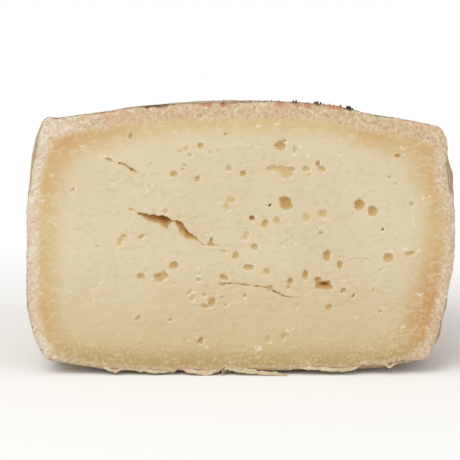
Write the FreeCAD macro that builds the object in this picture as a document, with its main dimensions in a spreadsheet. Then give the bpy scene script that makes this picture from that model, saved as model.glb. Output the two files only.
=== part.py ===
import FreeCAD, Part
import math
import os
import Sketcher

# Rather more than half of a small aged pecorino wheel, standing on its base with the cut
# towards -Y. Millimetres, +Z up. Every feature is drawn about the wheel's own axis, and the
# body is then moved so that its origin is the middle of its footprint, on the table.

Vector = FreeCAD.Vector
inwards = Vector(0, 1, 0)
upwards = Vector(0, 0, 1)

doc = FreeCAD.newDocument("Pecorino")
sizes = doc.addObject("Spreadsheet::Sheet", "Sizes")

# name, value, what it is
drivingSizes = [
    ("wheelRadius", 103.5, "widest radius of the wheel, at the belly of its side"),
    ("wheelHeight", 130.4, "from the table to the crown of the top"),
    ("cutOffset", 28, "from the wheel's axis to the knife cut in front of it"),
    ("crownRadius", 372, "radius of the domed top"),
    ("shoulderRound", 6, "rounding where the top meets the side"),
    ("sideRadius", 187, "radius of the barrel-shaped side"),
    ("bellyHeight", 62, "height of the widest part of the side"),
    ("footRound", 4, "rounding where the base meets the side"),
    ("baseRadius", 198, "radius of the base as it rises to its rim"),
    ("restRadius", 40, "radius of the flat spot under the wheel"),
    ("chipHeight", 2.6, "height of the rind broken away under the cut"),
    ("chipDepth", 9, "how far in that broken rind reaches"),
    ("eyeDepth", 0.42, "depth of an eye as a share of its width"),
    ("crackDepth", 9, "how far the open cracks run into the paste"),
    ("crackTaper", 0.45, "length of a crack's bottom as a share of its mouth"),
    ("crackClosing", 0.3, "gape of a crack's bottom as a share of its mouth"),
]

# The larger eyes of the paste: across and up are shares of the cut's half width and of the
# wheel's height, so the eyes keep their places when the wheel changes. length and width are
# millimetres, and lean turns the length up from level, in degrees.
eyes = [
    (-0.31, 0.733, 3.2, 3.2, 0),
    (-0.19, 0.836, 3.2, 2.6, 0),
    (-0.20, 0.716, 2.8, 2.8, 0),
    (0.01, 0.735, 3.0, 3.0, 0),
    (0.19, 0.834, 5.6, 4.2, -10),
    (0.14, 0.752, 4.2, 2.4, 0),
    (0.30, 0.752, 4.2, 2.4, 0),
    (0.37, 0.759, 4.8, 2.4, -40),
    (0.21, 0.629, 7.0, 5.6, -60),
    (-0.04, 0.641, 4.6, 3.4, 0),
    (-0.07, 0.612, 4.4, 3.4, -50),
    (0.05, 0.575, 2.8, 2.8, 0),
    (0.11, 0.556, 4.0, 3.0, 90),
    (0.17, 0.566, 3.4, 3.4, 0),
    (0.38, 0.590, 5.0, 3.8, 0),
    (0.55, 0.623, 5.2, 5.2, 0),
    (0.62, 0.600, 5.0, 4.2, 90),
    (0.40, 0.440, 5.2, 3.4, 90),
    (0.47, 0.406, 4.0, 2.8, 90),
    (0.69, 0.432, 5.0, 4.4, 0),
    (0.30, 0.370, 4.8, 3.0, 90),
    (0.23, 0.347, 3.4, 3.4, 0),
    (0.39, 0.334, 8.2, 4.4, 0),
    (0.42, 0.252, 3.2, 3.2, 0),
    (0.07, 0.472, 3.6, 3.6, 0),
    (-0.03, 0.439, 3.4, 3.4, 0),
    (-0.31, 0.404, 5.0, 3.8, 0),
    (-0.47, 0.365, 4.0, 3.2, 0),
    (-0.38, 0.361, 5.0, 5.0, 0),
    (0.04, 0.397, 5.2, 3.0, 0),
    (0.12, 0.381, 4.0, 3.6, 0),
    (-0.08, 0.361, 4.6, 2.6, -25),
    (0.14, 0.321, 3.4, 3.4, 0),
    (-0.14, 0.268, 4.4, 3.6, 90),
    (-0.19, 0.128, 3.4, 3.4, 0),
]

# The open cracks, each a lens-shaped gash: name, across, up, length, gape above and below
# the line through its tips, and lean.
cracks = [
    ("UpperCrack", -0.405, 0.578, 17.0, 1.2, 2.2, -14),
    ("UpperCrackNotch", -0.350, 0.556, 6.5, 1.0, 1.6, -72),
    ("LowerCrack", -0.258, 0.533, 15.5, 2.6, 1.4, -43),
]

farOut = 40  # how far the cutting sketches reach past the wheel
longEye = 1.3  # an eye at least this much longer than wide is two bubbles


def fillSheet():
    for row, (name, value, meaning) in enumerate(drivingSizes, 1):
        sizes.set(f"A{row}", meaning)
        sizes.set(f"B{row}", str(value))
        sizes.setAlias(f"B{row}", name)
    doc.recompute()


def sketchOn(body, role, name):
    sketch = body.newObject("Sketcher::SketchObject", name)
    plane = [item for item in body.Origin.OriginFeatures if item.Role == role][0]
    sketch.AttachmentSupport = [(plane, "")]
    sketch.MapMode = "FlatFace"
    return sketch


def constrain(sketch, kind, *places):
    sketch.addConstraint(Sketcher.Constraint(kind, *places))


def bind(sketch, kind, places, value, formula):
    # a dimension of the sketch that follows a formula of the sheet
    number = sketch.addConstraint(Sketcher.Constraint(kind, *places, value))
    label = f"size{number}"
    sketch.renameConstraint(number, label)
    sketch.setExpression(f"Constraints.{label}", formula)


def straight(start, end):
    return Part.LineSegment(Vector(*start, 0), Vector(*end, 0))


def arcOf(centre, radius, start, end):
    # anticlockwise from start to end
    first = math.atan2(start[1] - centre[1], start[0] - centre[0])
    last = math.atan2(end[1] - centre[1], end[0] - centre[0])
    circle = Part.Circle(Vector(*centre, 0), upwards, radius)
    return Part.ArcOfCircle(circle, first, last)


def roundingBetween(lower, upper, radius):
    # centre of the small circle that lies inside two large ones and touches both, out at
    # the wheel's rim, and the two points where it touches
    (ax, az), lowerRadius = lower
    (bx, bz), upperRadius = upper
    fromLower = lowerRadius - radius
    fromUpper = upperRadius - radius
    apart = math.hypot(bx - ax, bz - az)
    along = (apart ** 2 + fromLower ** 2 - fromUpper ** 2) / (2 * apart)
    aside = math.sqrt(fromLower ** 2 - along ** 2)
    dx, dz = (bx - ax) / apart, (bz - az) / apart
    choices = [(ax + dx * along + way * dz * aside, az + dz * along - way * dx * aside) for way in (1, -1)]
    centre = max(choices)

    def touch(origin, distance, reach):
        return tuple(origin[k] + (centre[k] - origin[k]) * reach / distance for k in (0, 1))

    return centre, touch((ax, az), fromLower, lowerRadius), touch((bx, bz), fromUpper, upperRadius)


def drawWheelSection(body):
    # Half the upright section of the wheel: flat spot, rising base, foot, barrel side,
    # shoulder and crown, each running into the next without a crease.
    rest = (sizes.restRadius, 0)
    crownTop = (0, sizes.wheelHeight)
    base = ((sizes.restRadius, sizes.baseRadius), sizes.baseRadius)
    side = ((sizes.wheelRadius - sizes.sideRadius, sizes.bellyHeight), sizes.sideRadius)
    crown = ((0, sizes.wheelHeight - sizes.crownRadius), sizes.crownRadius)
    footCentre, footStart, footEnd = roundingBetween(base, side, sizes.footRound)
    shoulderCentre, shoulderStart, shoulderEnd = roundingBetween(side, crown, sizes.shoulderRound)

    sketch = sketchOn(body, "XZ_Plane", "WheelSection")
    curves = [
        straight((0, 0), rest),
        arcOf(*base, rest, footStart),
        arcOf(footCentre, sizes.footRound, footStart, footEnd),
        arcOf(*side, footEnd, shoulderStart),
        arcOf(shoulderCentre, sizes.shoulderRound, shoulderStart, shoulderEnd),
        arcOf(*crown, shoulderEnd, crownTop),
    ]
    flat, rise, foot, belly, shoulder, dome = [sketch.addGeometry(curve) for curve in curves]
    axis = sketch.addGeometry(straight(crownTop, (0, 0)))
    constrain(sketch, "Coincident", flat, 1, -1, 1)
    constrain(sketch, "Horizontal", flat)
    for first, second in [(flat, rise), (rise, foot), (foot, belly), (belly, shoulder), (shoulder, dome)]:
        constrain(sketch, "Tangent", first, 2, second, 1)
    constrain(sketch, "Coincident", dome, 2, axis, 1)
    constrain(sketch, "Coincident", axis, 2, flat, 1)
    constrain(sketch, "PointOnObject", axis, 1, -2)
    constrain(sketch, "PointOnObject", dome, 3, -2)
    bind(sketch, "DistanceX", (-1, 1, flat, 2), sizes.restRadius, "Sizes.restRadius")
    bind(sketch, "Radius", (rise,), sizes.baseRadius, "Sizes.baseRadius")
    bind(sketch, "Radius", (foot,), sizes.footRound, "Sizes.footRound")
    bind(sketch, "Radius", (belly,), sizes.sideRadius, "Sizes.sideRadius")
    bind(sketch, "Radius", (shoulder,), sizes.shoulderRound, "Sizes.shoulderRound")
    bind(sketch, "Radius", (dome,), sizes.crownRadius, "Sizes.crownRadius")
    bind(sketch, "DistanceX", (belly, 3, -1, 1), sizes.sideRadius - sizes.wheelRadius,
         "Sizes.sideRadius - Sizes.wheelRadius")
    bind(sketch, "DistanceY", (-1, 1, belly, 3), sizes.bellyHeight, "Sizes.bellyHeight")
    bind(sketch, "DistanceY", (-1, 1, dome, 2), sizes.wheelHeight, "Sizes.wheelHeight")
    return sketch


def turnWheel(body):
    section = drawWheelSection(body)
    doc.recompute()
    wheel = body.newObject("PartDesign::Revolution", "WholeWheel")
    wheel.Profile = section
    wheel.ReferenceAxis = (section, ["V_Axis"])
    wheel.Angle = 360
    doc.recompute()


def cutThrough(body, name, sketch, reversedCut=False, bothWays=False):
    cut = body.newObject("PartDesign::Pocket", name)
    cut.Profile = sketch
    cut.Type = "ThroughAll"
    cut.Midplane = bothWays
    cut.Reversed = reversedCut
    doc.recompute()


def closedOutline(sketch, corners):
    lines = []
    for start, end in zip(corners, corners[1:] + corners[:1]):
        lines.append(sketch.addGeometry(straight(start, end)))
    for line, following in zip(lines, lines[1:] + lines[:1]):
        constrain(sketch, "Coincident", line, 2, following, 1)
    return lines


def cutFace(body):
    # one knife cut, upright and parallel to the XZ plane
    reach = sizes.wheelRadius + farOut
    front = -sizes.cutOffset
    sketch = sketchOn(body, "XY_Plane", "KnifeOutline")
    corners = [(-reach, front), (-reach, -reach), (reach, -reach), (reach, front)]
    left, near, right, cut = closedOutline(sketch, corners)
    for line in (left, right):
        constrain(sketch, "Vertical", line)
    for line in (near, cut):
        constrain(sketch, "Horizontal", line)
    reachFormula = f"Sizes.wheelRadius + {farOut}"
    bind(sketch, "DistanceX", (left, 1, -1, 1), reach, reachFormula)
    bind(sketch, "DistanceX", (-1, 1, right, 1), reach, reachFormula)
    bind(sketch, "DistanceY", (near, 1, -1, 1), reach, reachFormula)
    bind(sketch, "DistanceY", (cut, 2, -1, 1), sizes.cutOffset, "Sizes.cutOffset")
    doc.recompute()
    cutThrough(body, "KnifeCut", sketch, reversedCut=True)


def chipBase(body):
    # The base's rind breaks away under the knife: a low wedge right across the cut's foot,
    # whose slope passes the cut at the chip's height.
    front = -sizes.cutOffset
    rise = sizes.chipHeight * (farOut + sizes.chipDepth) / sizes.chipDepth
    sketch = sketchOn(body, "YZ_Plane", "ChipOutline")
    corners = [(front - farOut, 0), (front + sizes.chipDepth, 0), (front - farOut, rise)]
    foot, slope, face = closedOutline(sketch, corners)
    constrain(sketch, "Horizontal", foot)
    constrain(sketch, "Vertical", face)
    constrain(sketch, "PointOnObject", foot, 1, -1)
    bind(sketch, "DistanceX", (face, 2, -1, 1), farOut - front, f"Sizes.cutOffset + {farOut}")
    bind(sketch, "DistanceX", (foot, 1, slope, 1), farOut + sizes.chipDepth, f"Sizes.chipDepth + {farOut}")
    bind(sketch, "DistanceY", (-1, 1, face, 1), rise,
         f"Sizes.chipHeight * ({farOut} + Sizes.chipDepth) / Sizes.chipDepth")
    doc.recompute()
    cutThrough(body, "BrokenRind", sketch, bothWays=True)


def acrossFace(share):
    return f"{share} * sqrt(Sizes.wheelRadius ^ 2 - Sizes.cutOffset ^ 2)"


def openEye(body, number, acrossShare, upShare, length, width, lean):
    # An eye is a bubble of gas that the knife opened. A long eye is two bubbles that ran
    # together, side by side along its length.
    apart = (length - width) / 2
    ways = (-1, 1)
    if length < longEye * width:
        width = (length + width) / 2
        ways = (0,)
    ballRadius = f"{width} * (0.25 + Sizes.eyeDepth ^ 2) / (2 * Sizes.eyeDepth)"
    for way in ways:
        name = f"Eye{number:02d}" + ("", "Right", "Left")[way]
        ball = body.newObject("PartDesign::SubtractiveSphere", name)
        shiftAcross = round(way * apart * math.cos(math.radians(lean)), 3)
        shiftUp = round(way * apart * math.sin(math.radians(lean)), 3)
        ball.setExpression("Radius", ballRadius)
        ball.setExpression(".Placement.Base.x", f"{acrossFace(acrossShare)} + {shiftAcross}")
        ball.setExpression(".Placement.Base.y", f"-Sizes.cutOffset - {ballRadius} + {width} * Sizes.eyeDepth")
        ball.setExpression(".Placement.Base.z", f"{upShare} * Sizes.wheelHeight + {shiftUp}")


def drawLens(body, name, place, lengthFormula, gapeFormula, depthFormula):
    # two arcs between a crack's tips
    acrossShare, upShare, length, above, below, lean = place
    sketch = sketchOn(body, "XZ_Plane", name)
    sketch.AttachmentOffset = FreeCAD.Placement(Vector(), FreeCAD.Rotation(upwards, lean))
    sketch.setExpression(".AttachmentOffset.Base.x", acrossFace(acrossShare))
    sketch.setExpression(".AttachmentOffset.Base.y", f"{upShare} * Sizes.wheelHeight")
    sketch.setExpression(".AttachmentOffset.Base.z", depthFormula)
    leftTip, rightTip = (-length / 2, 0), (length / 2, 0)
    upperRadius = (length ** 2 / 4 + above ** 2) / (2 * above)
    lowerRadius = (length ** 2 / 4 + below ** 2) / (2 * below)
    upper = sketch.addGeometry(arcOf((0, above - upperRadius), upperRadius, rightTip, leftTip))
    lower = sketch.addGeometry(arcOf((0, lowerRadius - below), lowerRadius, leftTip, rightTip))
    constrain(sketch, "Coincident", upper, 2, lower, 1)
    constrain(sketch, "Coincident", lower, 2, upper, 1)
    constrain(sketch, "PointOnObject", lower, 1, -1)
    constrain(sketch, "PointOnObject", lower, 2, -1)
    constrain(sketch, "PointOnObject", lower, 3, -2)
    bind(sketch, "DistanceX", (lower, 1, lower, 2), length, lengthFormula)
    for curve, radius, height in [(upper, upperRadius, above), (lower, lowerRadius, below)]:
        gape = gapeFormula.format(height)
        bind(sketch, "Radius", (curve,), radius,
             f"(({lengthFormula}) ^ 2 / 4 + ({gape}) ^ 2) / (2 * ({gape}))")
    return sketch


def openCrack(body, name, place):
    # narrows from its mouth on the cut to a short slit inside the paste
    length = place[2]
    mouth = drawLens(body, f"{name}Mouth", place, f"{length}", "{}", "Sizes.cutOffset")
    bottom = drawLens(body, f"{name}Bottom", place, f"{length} * Sizes.crackTaper",
                      "{} * Sizes.crackClosing", "Sizes.cutOffset - Sizes.crackDepth")
    doc.recompute()
    gash = body.newObject("PartDesign::SubtractiveLoft", name)
    gash.Profile = mouth
    gash.Sections = [bottom]
    gash.Ruled = True
    doc.recompute()


def buildHalfWheel():
    body = doc.addObject("PartDesign::Body", "HalfWheel")
    body.Label = "half_wheel"
    turnWheel(body)
    cutFace(body)
    chipBase(body)
    for name, *place in cracks:
        openCrack(body, name, place)
    for number, eye in enumerate(eyes, 1):
        openEye(body, number, *eye)
    # the wheel's axis lies behind the cut, so the footprint's middle is moved to the origin
    body.setExpression(".Placement.Base.y", "-(Sizes.wheelRadius - Sizes.cutOffset) / 2")
    doc.recompute()
    return body


def checkDocument(bodies):
    broken = [item.Name for item in doc.Objects if "Invalid" in item.State or "Error" in item.State]
    for body in bodies:
        if body.Shape.isNull() or not body.Shape.isValid() or len(body.Shape.Solids) != 1:
            broken.append(body.Label)
    if broken:
        raise RuntimeError(f"not built: {broken}")


fillSheet()
bodies = [buildHalfWheel()]
checkDocument(bodies)
os.makedirs("parts", exist_ok=True)
for body in bodies:
    body.Shape.exportStep(f"parts/{body.Label}.step")
    box = body.Shape.optimalBoundingBox()
    print(f"{body.Label}: {body.Shape.Volume / 1e6:.3f} litres, {len(body.Shape.Faces)} faces,"
          f" X {box.XMin:.1f} to {box.XMax:.1f}, Y {box.YMin:.1f} to {box.YMax:.1f},"
          f" Z {box.ZMin:.1f} to {box.ZMax:.1f}")
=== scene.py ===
import math
import random

import bmesh
import bpy
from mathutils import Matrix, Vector, bvhtree, kdtree, noise


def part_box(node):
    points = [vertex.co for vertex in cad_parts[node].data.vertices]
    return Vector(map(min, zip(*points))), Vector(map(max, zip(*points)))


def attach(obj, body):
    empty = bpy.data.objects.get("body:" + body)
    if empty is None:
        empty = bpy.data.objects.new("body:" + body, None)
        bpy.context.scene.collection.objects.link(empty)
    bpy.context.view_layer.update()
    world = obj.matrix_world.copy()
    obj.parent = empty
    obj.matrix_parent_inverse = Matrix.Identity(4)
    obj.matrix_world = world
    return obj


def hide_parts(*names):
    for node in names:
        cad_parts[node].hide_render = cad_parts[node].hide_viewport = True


# Rather more than half of a small aged pecorino wheel, its knife cut to the front.
# Everything is made in millimetres and turned into metres when a piece is finished.

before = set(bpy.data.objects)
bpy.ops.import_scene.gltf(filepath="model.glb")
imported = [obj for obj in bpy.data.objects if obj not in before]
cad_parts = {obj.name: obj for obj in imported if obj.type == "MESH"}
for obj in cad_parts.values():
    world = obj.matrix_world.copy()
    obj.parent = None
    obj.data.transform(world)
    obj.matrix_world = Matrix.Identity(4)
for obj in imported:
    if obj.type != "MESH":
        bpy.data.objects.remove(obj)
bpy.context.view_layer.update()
low, high = [corner * 1000 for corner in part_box("half_wheel")]
wheelRadius = (high.x - low.x) / 2
wheelHeight = high.z
cutY = low.y  # the knife cut
axisY = high.y - wheelRadius  # the wheel's own axis, behind the cut
cutOffset = axisY - cutY
print("frame loaded")


def ease(value, start, end):
    share = min(1.0, max(0.0, (value - start) / (end - start)))
    return share * share * (3 - 2 * share)


def between(stations, value):
    # straight lines through (place, amount) pairs
    if value <= stations[0][0]:
        return stations[0][1]
    for (a, first), (b, second) in zip(stations, stations[1:]):
        if value <= b:
            return first + (second - first) * (value - a) / (b - a)
    return stations[-1][1]


def grain(x, y, z, size, seed=0.0):
    # smooth noise of this feature size in mm, about -1 to 1
    return noise.noise(Vector((x / size + seed, y / size - seed, z / size + 2 * seed)))


def plainHex(text, opacity=1.0):
    # sRGB hex to the linear colour that shaders take
    parts = [int(text[k:k + 2], 16) / 255 for k in (1, 3, 5)]
    linear = [p / 12.92 if p <= 0.04045 else ((p + 0.055) / 1.055) ** 2.4 for p in parts]
    return (*linear, opacity)


def finishPiece(bm, name, materials):
    # the bmesh in mm becomes an object in metres that rides on the frame
    bmesh.ops.scale(bm, vec=(0.001, 0.001, 0.001), verts=bm.verts[:])
    mesh = bpy.data.meshes.new(name)
    bm.to_mesh(mesh)
    bm.free()
    piece = bpy.data.objects.new(name, mesh)
    bpy.context.scene.collection.objects.link(piece)
    for material in materials:
        mesh.materials.append(material)
    for polygon in mesh.polygons:
        polygon.use_smooth = True
    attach(piece, "root")
    return piece


# ---- camera, floor and light

studio = {
    "cameraAcross": -5.0,  # mm, a little left of the cheese's middle
    "cameraBefore": 550.0,  # mm in front of the cut
    "cameraHeight": 137.0,
    "cameraTilt": 7.0,  # degrees down
    "lens": 93.0,
    "worldLevel": 0.66,
    "whiteFrom": 0.16,  # metres out, where the paper starts to run into the white behind it
    "whiteAt": 0.42,
    "aim": (0, 0, 0.06),  # metres, what the lamps point at
    "lamps": {  # watts, size and place in metres
        "keySoftbox": (6.4, 0.8, (-0.45, -0.85, 1.0)),
        "fillSoftbox": (0.8, 0.9, (0.9, -0.7, 0.5)),
    },
}


def addCamera():
    data = bpy.data.cameras.new("studioCamera")
    data.lens = studio["lens"]
    data.sensor_width = 36.0
    data.dof.use_dof = False
    camera = bpy.data.objects.new("studioCamera", data)
    place = Vector((studio["cameraAcross"], cutY - studio["cameraBefore"], studio["cameraHeight"]))
    camera.location = place / 1000
    camera.rotation_euler = (math.radians(90 - studio["cameraTilt"]), 0, 0)
    bpy.context.scene.collection.objects.link(camera)
    bpy.context.scene.camera = camera


def addNode(tree, kind, inputs=None, **settings):
    # one node, with its settings, its plain input values and its links; another node given as an
    # input stands for that node's first output
    node = tree.nodes.new(kind)
    for name, value in settings.items():
        setattr(node, name, value)
    for name, value in (inputs or {}).items():
        socket = node.inputs[name]
        if isinstance(value, bpy.types.Node):
            value = value.outputs[0]
        if isinstance(value, bpy.types.NodeSocket):
            tree.links.new(value, socket)
        else:
            socket.default_value = value
    return node


def newMaterial(name):
    material = bpy.data.materials.new(name)
    material.use_nodes = True
    material.node_tree.nodes.clear()
    return material, material.node_tree


def addFloor():
    # matt white paper: takes the soft shadow, and runs into the white behind it
    material, tree = newMaterial("mattWhitePaper")
    coords = addNode(tree, "ShaderNodeTexCoord").outputs["Object"]
    away = addNode(tree, "ShaderNodeVectorMath", {0: coords}, operation="LENGTH").outputs["Value"]
    far = addNode(tree, "ShaderNodeMapRange", {"Value": away, "From Min": studio["whiteFrom"],
                                               "From Max": studio["whiteAt"]}).outputs["Result"]
    rays = addNode(tree, "ShaderNodeLightPath").outputs
    seen = addNode(tree, "ShaderNodeMath", {0: rays["Is Camera Ray"], 1: far}, operation="MULTIPLY")
    paper = addNode(tree, "ShaderNodeBsdfDiffuse", {"Color": plainHex("#fbfaf8"), "Roughness": 0.6})
    white = addNode(tree, "ShaderNodeEmission", {"Color": (1, 1, 1, 1), "Strength": 1.0})
    shaders = {0: seen, 1: paper, 2: white}
    mixed = addNode(tree, "ShaderNodeMixShader", shaders)
    addNode(tree, "ShaderNodeOutputMaterial", {"Surface": mixed})
    bm = bmesh.new()
    bmesh.ops.create_grid(bm, x_segments=8, y_segments=8, size=3.0)
    mesh = bpy.data.meshes.new("paperFloor")
    bm.to_mesh(mesh)
    bm.free()
    mesh.materials.append(material)
    floor = bpy.data.objects.new("paperFloor", mesh)
    bpy.context.scene.collection.objects.link(floor)


def addLight():
    for name, (watts, size, place) in studio["lamps"].items():
        data = bpy.data.lights.new(name, "AREA")
        data.energy = watts
        data.size = size
        lamp = bpy.data.objects.new(name, data)
        lamp.location = place
        lamp.rotation_euler = (Vector(studio["aim"]) - Vector(place)).to_track_quat("-Z", "Y").to_euler()
        bpy.context.scene.collection.objects.link(lamp)
    world = bpy.data.worlds.new("paleStudio")
    bpy.context.scene.world = world
    world.use_nodes = True
    tree = world.node_tree
    tree.nodes.clear()
    rays = addNode(tree, "ShaderNodeLightPath").outputs
    seen = rays["Is Camera Ray"]
    for other in ("Is Glossy Ray", "Is Transmission Ray"):
        seen = addNode(tree, "ShaderNodeMath", {0: seen, 1: rays[other]}, operation="MAXIMUM")
    # white where it is looked at, softer as a light
    level = addNode(tree, "ShaderNodeMapRange", {"Value": seen, "To Min": studio["worldLevel"],
                                                 "To Max": 1.0})
    sky = addNode(tree, "ShaderNodeBackground", {"Color": (1, 1, 1, 1), "Strength": level.outputs["Result"]})
    addNode(tree, "ShaderNodeOutputWorld", {"Surface": sky})
    bpy.context.scene.view_settings.view_transform = "Standard"


addCamera()
addFloor()
addLight()
print("camera, floor and light set")


# ---- the wheel

wheel = {
    "bellyHeight": 62.0,  # mm, where the side is widest
    "sideRadius": 187.0,
    "crownRadius": 372.0,
    "baseRadius": 198.0,
    "restRadius": 40.0,  # the flat middle of the base
    "restSteps": 4,
    "shoulderRound": 4.2,
    "footRound": 4.0,
    "turns": 316,  # steps round the wheel, 2 mm of rind each
    "spacing": {"base": 2.6, "foot": 1.2, "side": 1.9, "shoulder": 1.0, "rim": 1.9, "crown": 4.0},  # mm
    "fineCrown": 0.4,  # share of the crown with the rim's spacing
    "cutCell": 0.8,  # mm, cells of the cut
    "cellsReach": 99,  # mm to each side of the middle
    "rimRows": (0.7, 1.6, 3.0, 5.0),  # mm behind the cut, so that its edge can crumble
    "rowsDeep": 9,  # mm behind the cut that the rows are sought in
    "snap": {"cut": 0.05, "row": 0.12, "cell": 0.16},  # mm, nearer than this an old vertex is used
}

# How the real wheel leaves the true one beside its cut: (height, mm further out) for the
# two sides, and (across, mm higher) for the top.
leftSide = [(4, 0.0), (8, 0.8), (12, 2.2), (18, 3.2), (32, 3.2), (48, 1.3), (65, 0.2), (76, 0.8),
            (84, 0.9), (96, 0.5), (104, 0.0), (112, 0.1), (116, -0.3), (121, 0.4)]
rightSide = [(5, -2.6), (15, -2.0), (26, -1.6), (32, -0.5), (42, -0.9), (49, 0.1), (60, 0.4),
             (76, 0.7), (84, 0.8), (90, -0.8), (99, -0.4), (104, 0.8), (108, 2.2), (112, 2.6), (121, 1.8)]
topSide = [(-96, 4.4), (-90, 3.8), (-86, 2.2), (-82, 1.5), (-76, 1.2), (-66, 0.4), (-60, 0.2), (-54, 0.6),
           (-30, -0.2), (-8, -0.8), (4, -0.6), (14, 0.0), (44, 0.3), (50, -0.3), (60, -1.5), (70, -1.1),
           (90, -0.9)]
# height of the crumbled foot of the cut
cutFoot = [(-96, 8.0), (-92, 7.3), (-85, 6.1), (-72, 4.5), (-66, 3.7), (-60, 2.4), (-50, 2.5), (-40, 1.8),
           (-31.5, 1.5), (-30, 3.0), (-20, 2.2), (-12, 1.3), (-7.5, 3.4), (-5, 2.2), (8, 2.7), (22, 2.6),
           (30, 3.7), (45, 3.2), (54, 3.5), (56, 4.3), (62, 5.2), (71, 5.2), (72, 6.2), (80, 7.3), (92, 7.6)]
# rind that swells out behind the cut: place in mm from the axis line, reach, push across
swellings = [((-99, 18, 105), 12, -1.9), ((100, 16, 94), 9, 2.8), ((95, 12, 18), 7, 2.1)]


def pointing(a, b):
    return math.degrees(math.atan2(b[1] - a[1], b[0] - a[0]))


def nestledCentre(lower, lowerRadius, upper, upperRadius, radius):
    # middle of a small circle that lies inside two large ones and touches both at the rim
    fromLower = lowerRadius - radius
    fromUpper = upperRadius - radius
    apart = math.dist(lower, upper)
    along = (apart ** 2 + fromLower ** 2 - fromUpper ** 2) / (2 * apart)
    aside = math.sqrt(fromLower ** 2 - along ** 2)
    dx = (upper[0] - lower[0]) / apart
    dz = (upper[1] - lower[1]) / apart
    return max((lower[0] + dx * along + way * dz * aside, lower[1] + dz * along - way * dx * aside)
               for way in (1, -1))


def carryArc(bm, start, centre, degrees, spacing):
    # carries the section on along an arc, in steps of about this spacing
    middle = Vector((centre[0], 0, centre[1]))
    steps = max(1, round((start.co - middle).length * math.radians(degrees) / spacing))
    made = bmesh.ops.spin(bm, geom=[start], cent=middle, axis=(0, -1, 0), angle=math.radians(degrees),
                          steps=steps)
    return [item for item in made["geom_last"] if isinstance(item, bmesh.types.BMVert)][0]


def turnWheel():
    bm = bmesh.new()
    base = (wheel["restRadius"], wheel["baseRadius"])
    side = (wheelRadius - wheel["sideRadius"], wheel["bellyHeight"])
    crown = (0, wheelHeight - wheel["crownRadius"])
    foot = nestledCentre(base, wheel["baseRadius"], side, wheel["sideRadius"], wheel["footRound"])
    shoulder = nestledCentre(side, wheel["sideRadius"], crown, wheel["crownRadius"], wheel["shoulderRound"])
    corner = bmesh.ops.create_vert(bm, co=(0, 0, 0))["vert"][0]
    for step in range(wheel["restSteps"]):
        corner = bmesh.ops.extrude_vert_indiv(bm, verts=[corner])["verts"][0]
        bmesh.ops.translate(bm, vec=(wheel["restRadius"] / wheel["restSteps"], 0, 0), verts=[corner])
    crownStart = pointing(crown, shoulder)
    crownTurn = (90 - crownStart) * wheel["fineCrown"]
    arcs = [
        ("base", base, pointing(base, foot) + 90),
        ("foot", foot, pointing(side, foot) - pointing(base, foot)),
        ("side", side, pointing(side, shoulder) - pointing(side, foot)),
        ("shoulder", shoulder, crownStart - pointing(side, shoulder)),
        ("rim", crown, crownTurn),
        ("crown", crown, 90 - crownStart - crownTurn),
    ]
    for name, centre, degrees in arcs:
        corner = carryArc(bm, corner, centre, degrees, wheel["spacing"][name])
    bmesh.ops.spin(bm, geom=bm.verts[:] + bm.edges[:], cent=(0, 0, 0), axis=(0, 0, 1), angle=math.tau,
                   steps=wheel["turns"], use_merge=True)
    bmesh.ops.remove_doubles(bm, verts=bm.verts[:], dist=0.03)
    bmesh.ops.translate(bm, vec=(0, axisY, 0), verts=bm.verts[:])
    return bm


def around(faces):
    edges = {edge for face in faces for edge in face.edges}
    verts = {vert for face in faces for vert in face.verts}
    return list(faces) + list(edges) + list(verts)


def sliceFaces(bm, faces, place, normal):
    # cuts the faces on a plane and gives back those on its far side
    made = bmesh.ops.bisect_plane(bm, geom=around(faces), dist=wheel["snap"]["cell"], plane_co=place,
                                  plane_no=normal)
    pieces = [item for item in made["geom"] if isinstance(item, bmesh.types.BMFace)]
    place = Vector(place)
    normal = Vector(normal)
    return [face for face in pieces if (face.calc_center_median() - place).dot(normal) > 0]


def cutWheel(bm):
    # the knife cut, then finer rows of rind just behind it, then a grid of cells on it
    snap = wheel["snap"]
    bmesh.ops.bisect_plane(bm, geom=bm.verts[:] + bm.edges[:] + bm.faces[:], dist=snap["cut"],
                           plane_co=(0, cutY, 0), plane_no=(0, -1, 0), use_snap_center=True, clear_outer=True)
    for back in wheel["rimRows"]:
        close = [face for face in bm.faces if face.calc_center_median().y < cutY + wheel["rowsDeep"]]
        bmesh.ops.bisect_plane(bm, geom=around(close), dist=snap["row"], plane_co=(0, cutY + back, 0),
                               plane_no=(0, 1, 0))
    rim = [edge for edge in bm.edges if edge.is_boundary]
    pending = bmesh.ops.contextual_create(bm, geom=rim)["faces"]
    cell = wheel["cutCell"]
    columns = round(wheel["cellsReach"] / cell)
    for column in range(-columns, columns + 1):
        pending = sliceFaces(bm, pending, (column * cell, 0, 0), (1, 0, 0))
    pending = flatFaces(bm)
    for row in range(1, round(wheelHeight / cell) + 1):
        pending = sliceFaces(bm, pending, (0, 0, row * cell), (0, 0, 1))


def flatFaces(bm):
    return [face for face in bm.faces if all(abs(vert.co.y - cutY) < 0.01 for vert in face.verts)]


# ---- eyes and cracks: across, up, length, width, lean in degrees, depth, all in mm

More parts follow.
